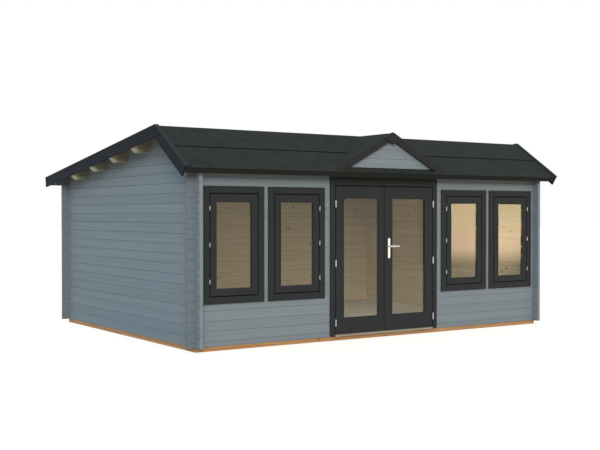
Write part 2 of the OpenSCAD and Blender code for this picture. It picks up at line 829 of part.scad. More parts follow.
module window_sashes() {
    color(paint_dark) house() for (x = window_x) difference() {
        four_boards(x - sash_w / 2, x + sash_w / 2, sash_z0, sash_z1, sash_y0, sash_y1,
            sash_stile, sash_stile, sash_bottom, sash_top);
        pane_block(x - sash_w / 2 + sash_stile, x + sash_w / 2 - sash_stile,
            sash_z0 + sash_bottom, sash_z1 - sash_top, sash_y0 + pane_inset + pane_t / 2, seat);
    }
}

module window_panes() {
    color(pane) house() for (x = window_x)
        pane_block(x - sash_w / 2 + sash_stile, x + sash_w / 2 - sash_stile,
            sash_z0 + sash_bottom, sash_z1 - sash_top, sash_y0 + pane_inset + pane_t / 2, 0);
}

module window_hinges() {
    z0 = sash_z0 + window_hinge_in;
    z1 = sash_z1 - window_hinge_in;
    y = -trim_t - seat - window_knuckle;
    outer = sash_w / 2 + sash_gap - seat;
    color(metal) house() for (n = [0 : 3]) for (z = [z0, (z0 + z1) / 2, z1])
        translate([window_x[n], 0, z]) union() {
            s = window_side[n];
            translate([s * (sash_w + sash_gap) / 2, y, 0]) rotate_extrude() window_hinge_profile();
            block([min(s * outer, s * (outer - window_flap_t)), y, -window_knuckle_h / 2],
                [max(s * outer, s * (outer - window_flap_t)), -trim_t + window_flap_depth,
                    window_knuckle_h / 2]);
        }
}

// Half outline of a window hinge
module window_hinge_profile() {
    r = window_knuckle;
    h = window_knuckle_h / 2;
    g = hinge_groove;
    polygon([[0, -h - hinge_tip], [r / 2, -h - hinge_tip], [r, -h], [r, -g], [r - g, -g], [r - g, g], [r, g],
        [r, h], [r / 2, h + hinge_tip], [0, h + hinge_tip]]);
}

module door_frame() {
    w = rough_half - fit_gap;
    color(paint_dark) house() difference() {
        four_boards(-w, w, 0, rough_top - fit_gap, 0, frame_depth,
            door_jamb + stop_w, door_jamb + stop_w, 0, door_head + stop_w);
        block([-jamb_x, -1, -1], [jamb_x, leaf_y1 + stop_gap, head_z]);
    }
}

module door_trims() {
    color(paint_dark) house() trim_boards(-jamb_x - door_trim, jamb_x + door_trim,
        door_trim_foot, head_z + door_head_trim, -trim_t, -seat, door_trim, 0, door_head_trim);
}

module door_threshold() {
    x = jamb_x - stop_w - joint_gap;
    y0 = -threshold_front;
    color(sill) house() union() {
        block([-x, 0, 0], [x, frame_depth, threshold_h]);
        along_x(-jamb_x + joint_gap, jamb_x - joint_gap) polygon([
            [y0, 0], [leaf_y1, 0], [leaf_y1, threshold_h], [y0 + nosing_depth, threshold_h],
            [y0, threshold_h - nosing_fall]]);
    }
}

// Lower halves of the door hinges with their pins, on the frame
module door_frame_hinges() {
    color(metal) house() for (s = [-1, 1]) for (z = hinge_z) union() {
        translate([s * axis_x, axis_y, z - knuckle_h]) cylinder(h = knuckle_h - joint_gap, r = knuckle_r);
        translate([s * axis_x, axis_y, z - knuckle_h - hinge_tip])
            cylinder(h = hinge_tip, r1 = knuckle_r / 2, r2 = knuckle_r);
        translate([s * axis_x, axis_y, z - knuckle_h]) cylinder(h = 2 * knuckle_h + joint_gap, r = pin_r);
        translate([s * axis_x, axis_y, z + knuckle_h + joint_gap])
            cylinder(h = hinge_tip, r1 = knuckle_r, r2 = knuckle_r / 2);
        block([min(s * jamb_x, s * (jamb_x - flap_t)), axis_y, z - knuckle_h],
            [max(s * jamb_x, s * (jamb_x - flap_t)), -trim_t + flap_depth, z - joint_gap]);
    }
}

// Upper halves of the door hinges, on a leaf
module leaf_hinges(s) {
    for (z = hinge_z) difference() {
        union() {
            translate([s * axis_x, axis_y, z]) cylinder(h = knuckle_h, r = knuckle_r);
            block([min(s * door_half, s * (door_half + flap_t)), axis_y, z],
                [max(s * door_half, s * (door_half + flap_t)), -trim_t + flap_depth, z + knuckle_h]);
        }
        translate([s * axis_x, axis_y, z - 1]) cylinder(h = knuckle_h + 2, r = pin_r + pin_gap);
    }
}

// Door leaf between x0 and x1 with a pane in its groove
module leaf(x0, x1, left, right) {
    difference() {
        four_boards(x0, x1, leaf_z0, leaf_z1, leaf_y0, leaf_y1, left, right, door_bottom, door_top);
        leaf_pane(x0, x1, left, right, seat);
        children();
    }
}

module leaf_pane(x0, x1, left, right, grow) {
    pane_block(x0 + left, x1 - right, leaf_z0 + door_bottom, leaf_z1 - door_top,
        leaf_y0 + pane_inset + pane_t / 2, grow);
}

module left_door_leaf() {
    color(paint_dark) house() leaf(-door_half, left_x1, door_stile, meet_stile);
}

module left_door_pane() {
    color(pane) house() leaf_pane(-door_half, left_x1, door_stile, meet_stile, 0);
}

module left_leaf_hinges() {
    color(metal) house() leaf_hinges(-1);
}

module right_door_leaf() {
    color(paint_dark) house() leaf(right_x0, door_half, door_stile, door_stile) spindle_hole();
}

module right_door_pane() {
    color(pane) house() leaf_pane(right_x0, door_half, door_stile, door_stile, 0);
}

module right_leaf_hinges() {
    color(metal) house() leaf_hinges(1);
}

module spindle_hole() {
    translate([handle_x, leaf_y0 - plate_t - 1, lever_z]) rotate([-90, 0, 0])
        cylinder(h = leaf_t + 2 * plate_t + 2, r = spindle_r + spindle_gap);
}

// Long plates with round ends on both faces of the right leaf
module door_handle_plates() {
    color(metal) house() for (y = [leaf_y0 - plate_t, leaf_y1]) difference() {
        along_y(y, y + plate_t) union() {
            translate([handle_x - plate_w / 2, handle_z - plate_h / 2 + plate_w / 2])
                square([plate_w, plate_h - plate_w]);
            for (s = [-1, 1])
                translate([handle_x, handle_z + s * (plate_h - plate_w) / 2]) circle(plate_w / 2);
        }
        spindle_hole();
    }
}

// Spindle with a lever on both sides of the leaf
module door_lever() {
    y0 = leaf_y0 - plate_t - neck_gap;
    y1 = leaf_y1 + plate_t + neck_gap;
    color(metal) house() translate([handle_x, 0, lever_z]) union() {
        translate([0, y0 - lever_out, 0]) rotate([-90, 0, 0])
            cylinder(h = y1 - y0 + 2 * lever_out, r = spindle_r);
        for (y = [y0 - lever_out, y1])
            translate([0, y, 0]) rotate([-90, 0, 0]) cylinder(h = lever_out, r = neck_r);
        for (y = [y0 - lever_out + neck_r, y1 + lever_out - neck_r]) translate([0, y, 0]) {
            rotate([0, 90, 0]) cylinder(h = lever_len, r = lever_r);
            translate([lever_len, 0, 0]) sphere(lever_r);
        }
    }
}

foundation_long_beams();
foundation_end_beams();
floor_bearers();
floor_deck();
front_wall_left();
front_wall_right();
front_wall_over_door();
back_wall();
left_wall();
right_wall();
purlins();
ridge_purlin();
roof_boards_front();
roof_boards_back();
roof_felt_front();
roof_felt_back();
front_fascia();
back_fascia();
left_barge_front();
left_barge_back();
right_barge_front();
right_barge_back();
barge_caps();
dormer_panel();
dormer_boards();
dormer_felt();
dormer_barges();
window_trims();
window_frames();
window_sashes();
window_panes();
window_hinges();
door_frame();
door_trims();
door_threshold();
door_frame_hinges();
left_door_leaf();
left_door_pane();
left_leaf_hinges();
right_door_leaf();
right_door_pane();
right_leaf_hinges();
door_handle_plates();
door_lever();
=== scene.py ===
import bpy
import math
import random
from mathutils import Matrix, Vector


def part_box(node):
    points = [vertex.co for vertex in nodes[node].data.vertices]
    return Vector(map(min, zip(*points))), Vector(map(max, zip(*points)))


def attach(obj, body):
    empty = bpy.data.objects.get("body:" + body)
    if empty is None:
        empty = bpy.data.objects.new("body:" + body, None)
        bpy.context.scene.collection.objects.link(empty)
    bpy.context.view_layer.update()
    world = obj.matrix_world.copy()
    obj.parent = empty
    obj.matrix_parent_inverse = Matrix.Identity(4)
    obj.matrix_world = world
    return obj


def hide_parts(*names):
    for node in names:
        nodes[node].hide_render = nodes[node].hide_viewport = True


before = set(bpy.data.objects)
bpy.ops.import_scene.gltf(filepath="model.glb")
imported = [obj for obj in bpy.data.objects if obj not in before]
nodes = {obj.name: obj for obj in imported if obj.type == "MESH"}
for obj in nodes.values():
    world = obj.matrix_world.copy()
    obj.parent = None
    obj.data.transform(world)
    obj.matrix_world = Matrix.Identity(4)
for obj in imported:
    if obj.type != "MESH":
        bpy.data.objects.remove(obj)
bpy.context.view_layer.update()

X_AXIS, Y_AXIS, Z_AXIS = 0, 1, 2
WHOLE = (0.0, 1.0)

# Log walls, in metres in the frame of the solids
FRONT_FACE = -1.948
WALL_DEPTH = 3.8
WALL_BACK = FRONT_FACE + WALL_DEPTH
WALL_HALF = 2.65
LOG_FOOT = 0.048
LOG_PITCH = 0.114
LOG_THICK = 0.044
INNER_FROM = LOG_THICK * 0.6
# Painted shade on the log ends beyond the corners starts here along x
CORNER_SHADE_FROM = WALL_HALF + 0.001
# Painted shade along the joints between logs: half width, share at full strength and strength
JOINT_HALF = 0.0035
JOINT_CORE = 0.4
JOINT_STRENGTH = 0.17

# Roof
RIDGE_Y = FRONT_FACE + 0.543
RIDGE_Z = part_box("roof_felt_front")[1].z
PITCH_FRONT = math.radians(33.7)
PITCH_BACK = math.radians(7.95)
BOARD_THICK = 0.018
FELT_THICK = 0.004
CAP_INNER = 2.828
FELT_COURSE = 0.9
FRONT_LAP = FRONT_FACE + 0.177
BACK_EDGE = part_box("roof_felt_back")[1].y
BACK_LAPS = [BACK_EDGE - FELT_COURSE * n for n in (1, 2, 3)]
PANEL_FOOT_Y = FRONT_FACE - 0.11
# Painted light on the outer ends of the purlins: where it starts along x and how far it fades in
PURLIN_LIGHT_FROM = 2.77
END_LIGHT_FADE = 0.05

# Rows of boards: the axis across them, where the first row starts, and the pitch
FLOOR_ROWS = (Y_AXIS, -1.868, 0.09165)
ROOF_ROWS = (X_AXIS, -2.8556, 0.09518)
PURLIN_ROWS = (Y_AXIS, FRONT_FACE + 0.9, 0.637)
LONG_BEAM_ROWS = (Y_AXIS, 0.0, 5.0)
END_BEAM_ROWS = (X_AXIS, -2.7, 0.35)
PAINT_START = 0.0
PAINT_PITCH = 0.41

# Boards that take the place of plain solids
FLOOR_COUNT = 40
FLOOR_GAP = 0.0008
FLOOR_GROOVE = 0.002
ROOF_COUNT = 60
ROOF_GAP = 0.0006
ROOF_GROOVE = 0.004
ROOF_SPARE = 0.05

# Felt courses: thickness, lifts off the felt below, overlap, and the curl and ripple of the free edge
SHEET_THICK = 0.0032
SHEET_CUTS = 70
SHEET_LIFT = 0.0006
FOLD_LIFT = 0.0045
LAP_LIFT = 0.0035
LAP_OVER = 0.1
RIDGE_CLEAR = 0.05
RIDGE_FOLD = 0.33
CURL_WIDTH = 0.04
RIPPLE_FRONT = 0.0016
RIPPLE_BACK = 0.0012
RIPPLE_WAVES = 5
RIPPLE_RATES = (1.5, 9.0)
RIPPLE_STARTS = (0, 6.28)
RIPPLE_BASE = 0.6
RIPPLE_DEEP = 0.8
SEED_FRONT = 3
SEED_BACK = 11

# Pane seals, and dark strips of painted shade in the gaps round sashes and leaves: width, depth and eased
# edge, with their seat off the face they lie on
PANE_SEAL = (0.003, 0.004, 0.0015)
GAP_SHADE_STRIP = (0.007, 0.001, 0.0006)
STRIP_EASE = 0.0004
SEAL_SEAT = 0.0002
PANE_REBATE = 0.0098
SASH_STILE = 0.0765


def felt_front(y):
    return RIDGE_Z - math.tan(PITCH_FRONT) * (RIDGE_Y - y)


def felt_back(y):
    return RIDGE_Z - math.tan(PITCH_BACK) * (y - RIDGE_Y)


def boards_front(y):
    return felt_front(y) - FELT_THICK / math.cos(PITCH_FRONT)


def boards_back(y):
    return felt_back(y) - FELT_THICK / math.cos(PITCH_BACK)


# Colours as they are written on a paint card, turned to linear light
def paint(red, green, blue):
    def channel(level):
        level = level / 255
        return level / 12.92 if level <= 0.04045 else ((level + 0.055) / 1.055) ** 2.4
    return (channel(red), channel(green), channel(blue), 1.0)


# Softwoods: pale growth, deep growth and knots
PINE_KNOT = paint(122, 84, 55)
ROOM_PINE = (paint(224, 208, 176), paint(203, 182, 146), PINE_KNOT)
FLOOR_PINE = (paint(232, 226, 214), paint(214, 205, 189), PINE_KNOT)
AGED_PINE = (paint(148, 147, 133), paint(125, 123, 109), PINE_KNOT)
BEAM_PINE = (paint(205, 156, 104), paint(168, 116, 68), paint(110, 70, 42))
PINE_STREAK = paint(190, 154, 108)
# Painted shade in the joints between the bare logs in the room
PINE_JOINT_SHADE = paint(150, 128, 98)
# Paler colour of the painted light on the outer ends of the purlins
PURLIN_END_LIGHT = paint(196, 186, 160)

# Paint of the walls
WALL_PAINT = paint(137, 146, 151)
WALL_SHADE = paint(126, 135, 141)
# Painted shade of the log ends beyond the corners
WALL_CORNER_SHADE = paint(120, 128, 133)
# Painted shade in the joints between the painted logs
WALL_JOINT_SHADE = paint(84, 92, 98)

# Dark paints: main colour and worn colour
JOINERY_PAINT = (paint(53, 55, 55), paint(62, 64, 64))
# Painted shade: the frames, seen only in the gaps round sashes and leaves, are painted darker
REBATE_SHADE_PAINT = (paint(32, 33, 33), paint(40, 41, 41))
BARGE_PAINT = (paint(42, 45, 50), paint(50, 53, 58))
GABLE_PAINT = (paint(50, 51, 50), paint(58, 59, 58))
FASCIA_PAINT = (paint(44, 45, 42), paint(54, 55, 52))
CAP_PAINT = (paint(50, 52, 55), paint(62, 64, 67))

# Felt, metals, glass and rubber: darker colour and lighter colour
FELT_GRIT = (paint(25, 28, 26), paint(58, 63, 59))
# Near black of the painted shade below each lap of the felt
LAP_SHADE = paint(17, 18, 17)
SATIN_STEEL = (paint(198, 201, 206), paint(218, 221, 226))
HINGE_STEEL = (paint(178, 180, 183), paint(202, 204, 207))
BRONZE = (paint(138, 127, 110), paint(172, 161, 142))
GLASS_TINT = (paint(238, 243, 240), paint(246, 249, 247))
GLASS_SHADOW = (0.72, 0.73, 0.71, 1.0)
PANE_RUBBER = (paint(34, 36, 36), paint(48, 50, 50))
# Near black of the strips of painted shade in the gaps round sashes and leaves
GAP_SHADE_RUBBER = (paint(15, 16, 16), paint(24, 25, 25))

# Grain: stretch of the noise along, across and up the board, number of lines, knots, streaks and tones
GRAIN_STRETCH = (0.1, 8.0, 8.0)
FIBRE_STRETCH = (1.5, 90.0, 90.0)
STREAK_STRETCH = (0.15, 60.0, 60.0)
FIBRE_SHARE = 0.45
WOOD_LINES = 17.0
LOG_LINES = 7.0
PAINT_LINES = 6.0
KNOT_SCALE = 2.6
KNOT_SIZE = 0.06
KNOT_SIZES = (0.35, 1.15)
KNOT_RAGGED = (0.75, 1.25)
KNOT_STRETCH = 0.75
KNOT_STRENGTH = 0.7
STREAK_STRENGTH = 0.42
ROW_SHIFT = 37.0
LOG_TONES = (0.955, 1.03)
BOARD_TONES = (0.9, 1.06)

# Stretch of the brushing on metal
BRUSHED_UPRIGHT = (900.0, 900.0, 40.0)
BRUSHED_ACROSS = (6.0, 500.0, 500.0)

# Painted shade in a dark line at the laps of the felt: its middle off the lap, its half width and its
# strength
FRONT_LINE = (-0.005, 0.006)
BACK_LINE = (0.005, 0.008)
LINE_STRENGTH = 0.85

# Studio
WHITE = (1, 1, 1, 1)
GROUND_SIZE = 160
GROUND_TINTS = ((0.42, 0.37, 0.30, 1), (0.44, 0.39, 0.32, 1))
GROUND_LIFT = 0.73
BACKDROP_PLACE = (9.094, -9.17, 1.8)
BACKDROP_TURN = math.radians(44.5)
BACKDROP_SIZE = (3.6, 3.0, 1)
BACKDROP_TINTS = ((1.0, 0.70, 0.44, 1), (1.0, 0.79, 0.43, 1))
BACKDROP_SIDE_FADE = (-0.37, -0.29)
BACKDROP_FOOT_FADE = (-0.5, -0.36)
BACKDROP_TINT_FADE = (-0.4, 0.05)
BACKDROP_STRENGTH = 15.5
SKY_TINTS = ((0.39, 0.64, 0.88, 1.0), (1.0, 0.90, 0.78, 1.0))
SKY_UPWARD = (0.45, 1.45)
SKY_BEHIND = (1.0, 1.6)
SUN_ENERGY = 1.66
SUN_SPREAD = math.radians(26)
SUN_COLOUR = (1.0, 0.95, 0.91)
SUN_TURN = (math.radians(70), 0, math.radians(-29))
ROOM_SIZE = (4.6, 2.4)
ROOM_ENERGY = 8
ROOM_COLOUR = (1.0, 0.95, 0.86)
ROOM_PLACE = (0, 0.2, 1.9)

# Camera as solved from the photo: focal length and width in pixels, place and direction
SENSOR_WIDTH = 36.0
FOCAL_PIXELS = 1007.72
PHOTO_PIXELS = 600
CAMERA_REACH = 400
CAMERA_PLACE = (-7.8345, -11.75425, 1.53114)
CAMERA_TURN = (math.radians(90 - 0.6685), 0, math.radians(-33.806))


# Node helpers
def put(tree, kind, inputs=None, **settings):
    node = tree.nodes.new(kind)
    for key, value in settings.items():
        setattr(node, key, value)
    for key, value in (inputs or {}).items():
        if isinstance(value, bpy.types.NodeSocket):
            tree.links.new(value, node.inputs[key])
        else:
            node.inputs[key].default_value = value
    return node


def calc(tree, operation, a, b=0.0, c=0.0):
    return put(tree, "ShaderNodeMath", {0: a, 1: b, 2: c}, operation=operation).outputs[0]


def product(tree, a, b):
    return calc(tree, "MULTIPLY", a, b)


def blend_colours(tree, factor, a, b, how="MIX"):
    node = put(tree, "ShaderNodeMix", {0: factor, 6: a, 7: b}, data_type="RGBA", blend_type=how)
    return node.outputs[2]


# A value that runs over one span, carried over to another and held at its ends
def spread(tree, value, span, to=WHOLE):
    inputs = {0: value, 1: span[0], 2: span[1], 3: to[0], 4: to[1]}
    return put(tree, "ShaderNodeMapRange", inputs).outputs[0]


def stretched(tree, vector, scale):
    return put(tree, "ShaderNodeMapping", {"Vector": vector, "Scale": scale}).outputs[0]


def cloud(tree, vector, scale, detail=3.0, rough=0.55, twist=0.0):
    inputs = {"Vector": vector, "Scale": scale, "Detail": detail, "Roughness": rough, "Distortion": twist}
    return put(tree, "ShaderNodeTexNoise", inputs).outputs[0]


def relief(tree, height, strength, distance):
    inputs = {"Height": height, "Strength": strength, "Distance": distance}
    return put(tree, "ShaderNodeBump", inputs).outputs[0]


def new_finish(name):
    made = bpy.data.materials.new(name)
    made.use_nodes = True
    tree = made.node_tree
    return made, tree, tree.nodes["Principled BSDF"]


def wire(tree, shader, socket, value):
    tree.links.new(value, shader.inputs[socket])


def object_place(tree):
    return put(tree, "ShaderNodeTexCoord").outputs["Object"]


def axes_of(tree, vector):
    return put(tree, "ShaderNodeSeparateXYZ", {0: vector}).outputs


# 1 for what the camera sees straight, in a shiny face or through glass, 0 for light that bounces
def seen_rays(tree):
    rays = put(tree, "ShaderNodeLightPath").outputs
    seen = calc(tree, "MAXIMUM", rays["Is Camera Ray"], rays["Is Glossy Ray"])
    return calc(tree, "MAXIMUM", seen, rays["Is Transmission Ray"])


# Place along, across and up a board, with its own stretch of grain and its own tone for each row of boards
def board_place(tree, along, rows):
    row_axis, start, pitch = rows
    axes = axes_of(tree, object_place(tree))
    row = calc(tree, "FLOOR", calc(tree, "DIVIDE", calc(tree, "SUBTRACT", axes[row_axis], start), pitch))
    tone = put(tree, "ShaderNodeTexWhiteNoise", {"W": row}, noise_dimensions="1D").outputs["Value"]
    shifted = calc(tree, "ADD", axes[along], product(tree, tone, ROW_SHIFT))
    others = [axes[axis] for axis in (X_AXIS, Y_AXIS, Z_AXIS) if axis != along]
    place = put(tree, "ShaderNodeCombineXYZ", {0: shifted, 1: others[0], 2: others[1]}).outputs[0]
    return place, tone, axes


# A colour made darker or lighter by the tone of its row
def toned(tree, colour, tone, levels):
    level = spread(tree, tone, WHOLE, levels)
    shade = put(tree, "ShaderNodeCombineXYZ", {0: level, 1: level, 2: level}).outputs[0]
    return blend_colours(tree, 1.0, colour, shade, "MULTIPLY")


# Growth lines of softwood that run along the board, as a value from 0 to 1
def growth_lines(tree, place, lines):
    slow = cloud(tree, stretched(tree, place, GRAIN_STRETCH), 2.2, detail=2.0, rough=0.5, twist=0.05)
    waves = calc(tree, "PINGPONG", product(tree, slow, lines), 1.0)
    fibre = cloud(tree, stretched(tree, place, FIBRE_STRETCH), 3.0, rough=0.6)
    return calc(tree, "MULTIPLY_ADD", fibre, FIBRE_SHARE, product(tree, waves, 1.0 - FIBRE_SHARE))


# Round knots of many sizes here and there, as a value that is 1 in the middle of a knot
def knots(tree, place):
    along, across, up = axes_of(tree, place)
    inputs = {0: product(tree, along, KNOT_STRETCH), 1: calc(tree, "ADD", across, up)}
    where = put(tree, "ShaderNodeCombineXYZ", inputs).outputs[0]
    inputs = {"Vector": where, "Scale": KNOT_SCALE, "Randomness": 1.0}
    cells = put(tree, "ShaderNodeTexVoronoi", inputs, feature="F1", voronoi_dimensions="2D").outputs
    own = put(tree, "ShaderNodeSeparateColor", {0: cells["Color"]}).outputs[0]
    ragged = [KNOT_SIZE * share for share in KNOT_RAGGED]
    edge = spread(tree, cloud(tree, place, 40.0, detail=2.0), (0.3, 0.7), ragged)
    edge = product(tree, edge, spread(tree, own, WHOLE, KNOT_SIZES))
    return spread(tree, calc(tree, "DIVIDE", cells["Distance"], edge), (0.5, 1.0), (1.0, 0.0))


# Colour of bare softwood: growth lines, redder streaks and knots
def softwood_colour(tree, place, grain, colours):
    pale, deep, knot_colour = colours
    wood = blend_colours(tree, spread(tree, grain, (0.15, 0.85)), pale, deep)
    streak = cloud(tree, stretched(tree, place, STREAK_STRETCH), 1.0, detail=2.0)
    wood = blend_colours(tree, spread(tree, streak, (0.5, 0.72), (0.0, STREAK_STRENGTH)), wood, PINE_STREAK)
    return blend_colours(tree, product(tree, knots(tree, place), KNOT_STRENGTH), wood, knot_colour)


# Painted logs, with painted shade on the log ends beyond the corners, bare pine on the faces that look into
# the room
def log_finish(name, along, foot, joints=True):
    made, tree, shader = new_finish(name)
    shader.inputs["Specular IOR Level"].default_value = 0.05
    place, tone, axes = board_place(tree, along, (Z_AXIS, foot, LOG_PITCH))
    grain = growth_lines(tree, place, LOG_LINES)
    painted = blend_colours(tree, spread(tree, grain, (0.2, 0.9), (0.0, 0.55)), WALL_PAINT, WALL_SHADE)
    painted = toned(tree, painted, tone, LOG_TONES)
    patches = spread(tree, cloud(tree, place, 1.7), (0.3, 0.75), (0.0, 0.22))
    painted = blend_colours(tree, patches, painted, WALL_SHADE)
    from_middle = calc(tree, "ABSOLUTE", axes[X_AXIS])
    # Painted shade: the log ends beyond the corners are painted darker, as if shaded by the corner
    painted = blend_colours(tree, calc(tree, "GREATER_THAN", from_middle, CORNER_SHADE_FROM), painted, WALL_CORNER_SHADE)
    bare = softwood_colour(tree, place, growth_lines(tree, place, WOOD_LINES), ROOM_PINE)
    # Painted shade: a dark line along each joint between logs, where the groove is shaded
    if joints:
        rise = calc(tree, "DIVIDE", calc(tree, "SUBTRACT", axes[Z_AXIS], foot), LOG_PITCH)
        from_joint = calc(tree, "PINGPONG", rise, 0.5)
        half = JOINT_HALF / LOG_PITCH
        joint = spread(tree, from_joint, (JOINT_CORE * half, half), (JOINT_STRENGTH, 0.0))
        painted = blend_colours(tree, joint, painted, WALL_JOINT_SHADE)
        bare = blend_colours(tree, joint, bare, PINE_JOINT_SHADE)
    in_sides = calc(tree, "LESS_THAN", from_middle, WALL_HALF - INNER_FROM)
    in_front = calc(tree, "GREATER_THAN", axes[Y_AXIS], FRONT_FACE + INNER_FROM)
    in_back = calc(tree, "LESS_THAN", axes[Y_AXIS], WALL_BACK - INNER_FROM)
    inside = product(tree, product(tree, in_sides, in_front), in_back)
    wire(tree, shader, "Base Color", blend_colours(tree, inside, painted, bare))
    wire(tree, shader, "Roughness", spread(tree, grain, WHOLE, (0.5, 0.68)))
    wire(tree, shader, "Normal", relief(tree, grain, strength=0.35, distance=0.0012))
    return made


# Painted boards: faint grain under the paint and slightly paler streaks
def painted_finish(name, colours, along, rough):
    made, tree, shader = new_finish(name)
    shader.inputs["Specular IOR Level"].default_value = 0.02
    row_axis = X_AXIS if along == Z_AXIS else Z_AXIS
    place = board_place(tree, along, (row_axis, PAINT_START, PAINT_PITCH))[0]
    grain = growth_lines(tree, place, PAINT_LINES)
    streak = cloud(tree, place, 2.6, detail=4.0)
    worn = spread(tree, grain, (0.3, 0.95), (0.0, 0.5))
    worn = product(tree, worn, spread(tree, streak, (0.3, 0.7), (0.3, 1.0)))
    wire(tree, shader, "Base Color", blend_colours(tree, worn, *colours))
    wire(tree, shader, "Roughness", spread(tree, grain, WHOLE, (rough - 0.06, rough + 0.1)))
    wire(tree, shader, "Normal", relief(tree, grain, strength=0.25, distance=0.0008))
    return made


# Bare timber boards, one stretch of grain per row, with painted light that makes the ends paler where asked
# for
def timber_finish(name, colours, along, rows, rough=0.72, light_from=None):
    made, tree, shader = new_finish(name)
    place, tone, axes = board_place(tree, along, rows)
    grain = growth_lines(tree, place, WOOD_LINES)
    wood = softwood_colour(tree, place, grain, colours)
    if light_from is not None:
        # Painted light: the outer ends are paler, as if lit by a low sun under the barge
        ends = (light_from, light_from + END_LIGHT_FADE)
        wood = blend_colours(tree, spread(tree, calc(tree, "ABSOLUTE", axes[along]), ends), wood, PURLIN_END_LIGHT)
    wire(tree, shader, "Base Color", toned(tree, wood, tone, BOARD_TONES))
    wire(tree, shader, "Roughness", spread(tree, grain, WHOLE, (rough - 0.08, rough + 0.08)))
    wire(tree, shader, "Normal", relief(tree, grain, strength=0.3, distance=0.001))
    return made


# Mineral roofing felt: dark mottled sheet under a coat of fine grit, with a line of painted shade below each
# lap
def felt_finish(name):
    made, tree, shader = new_finish(name)
    shader.inputs["Specular IOR Level"].default_value = 0.05
    place = object_place(tree)
    depth = axes_of(tree, place)[Y_AXIS]
    line = calc(tree, "COMPARE", depth, FRONT_LAP + FRONT_LINE[0], FRONT_LINE[1])
    for lap in BACK_LAPS:
        line = calc(tree, "MAXIMUM", line, calc(tree, "COMPARE", depth, lap + BACK_LINE[0], BACK_LINE[1]))
    blotch = cloud(tree, place, 5.5, detail=4.0, rough=0.65)
    grit = cloud(tree, place, 160.0, detail=2.0, rough=0.7)
    speck = cloud(tree, place, 46.0, rough=0.7)
    mixed = calc(tree, "MULTIPLY_ADD", grit, 0.4, product(tree, speck, 0.6))
    mixed = calc(tree, "MULTIPLY_ADD", blotch, 0.2, mixed)
    sheet = blend_colours(tree, spread(tree, mixed, (0.4, 0.8)), *FELT_GRIT)
    # Painted shade: a dark line below each lap
    sheet = blend_colours(tree, product(tree, line, LINE_STRENGTH), sheet, LAP_SHADE)
    wire(tree, shader, "Base Color", sheet)
    wire(tree, shader, "Roughness", spread(tree, speck, WHOLE, (0.82, 1.0)))
    wire(tree, shader, "Normal", relief(tree, mixed, strength=0.5, distance=0.003))
    return made


# Satin steel with fine upright brushing
def steel_finish(name, colours):
    made, tree, shader = new_finish(name)
    shader.inputs["Metallic"].default_value = 1.0
    brushed = cloud(tree, stretched(tree, object_place(tree), BRUSHED_UPRIGHT), 1.0, detail=2.0)
    wire(tree, shader, "Base Color", blend_colours(tree, brushed, *colours))
    wire(tree, shader, "Roughness", spread(tree, brushed, WHOLE, (0.42, 0.58)))
    return made


# Threshold of bronze-toned metal, a little scuffed
def threshold_finish(name):
    made, tree, shader = new_finish(name)
    shader.inputs["Metallic"].default_value = 0.15
    shader.inputs["Specular IOR Level"].default_value = 0.3
    brushed = cloud(tree, stretched(tree, object_place(tree), BRUSHED_ACROSS), 1.0)
    scuff = cloud(tree, object_place(tree), 28.0, detail=5.0, rough=0.7)
    worn = spread(tree, product(tree, brushed, scuff), (0.1, 0.45))
    wire(tree, shader, "Base Color", blend_colours(tree, worn, *BRONZE))
    wire(tree, shader, "Roughness", spread(tree, scuff, (0.2, 0.8), (0.38, 0.6)))
    return made


# Clear window glass that lets the lamps into the room
def glass_finish(name):
    made, tree, shader = new_finish(name)
    shader.inputs["Transmission Weight"].default_value = 1.0
    shader.inputs["Roughness"].default_value = 0.0
    shader.inputs["IOR"].default_value = 1.34
    tint = cloud(tree, object_place(tree), 1.4, detail=1.0)
    wire(tree, shader, "Base Color", blend_colours(tree, tint, *GLASS_TINT))
    clear = put(tree, "ShaderNodeBsdfTransparent", {"Color": GLASS_SHADOW})
    shadow = put(tree, "ShaderNodeLightPath").outputs["Is Shadow Ray"]
    mixed = put(tree, "ShaderNodeMixShader", {0: shadow, 1: shader.outputs[0], 2: clear.outputs[0]})
    wire(tree, tree.nodes["Material Output"], "Surface", mixed.outputs[0])
    return made


# Dark rubber of the pane seals and of the strips of painted shade in the gaps
def rubber_finish(name, colours):
    made, tree, shader = new_finish(name)
    shader.inputs["Specular IOR Level"].default_value = 0.03
    dust = cloud(tree, object_place(tree), 60.0)
    wire(tree, shader, "Base Color", blend_colours(tree, dust, *colours))
    wire(tree, shader, "Roughness", spread(tree, dust, (0.2, 0.8), (0.55, 0.75)))
    return made


front_logs = log_finish("painted_logs_across", X_AXIS, LOG_FOOT + LOG_PITCH / 2)
side_logs = log_finish("painted_logs_deep", Y_AXIS, LOG_FOOT)
panel_paint = log_finish("painted_panel", X_AXIS, felt_front(PANEL_FOOT_Y), joints=False)
joinery_up = painted_finish("dark_joinery", JOINERY_PAINT, Z_AXIS, rough=0.5)
fascia_paint = painted_finish("dark_fascia", FASCIA_PAINT, X_AXIS, rough=0.55)
barge_paint = painted_finish("dark_barge", BARGE_PAINT, Y_AXIS, rough=0.55)
gable_paint = painted_finish("dark_small_gable", GABLE_PAINT, X_AXIS, rough=0.55)
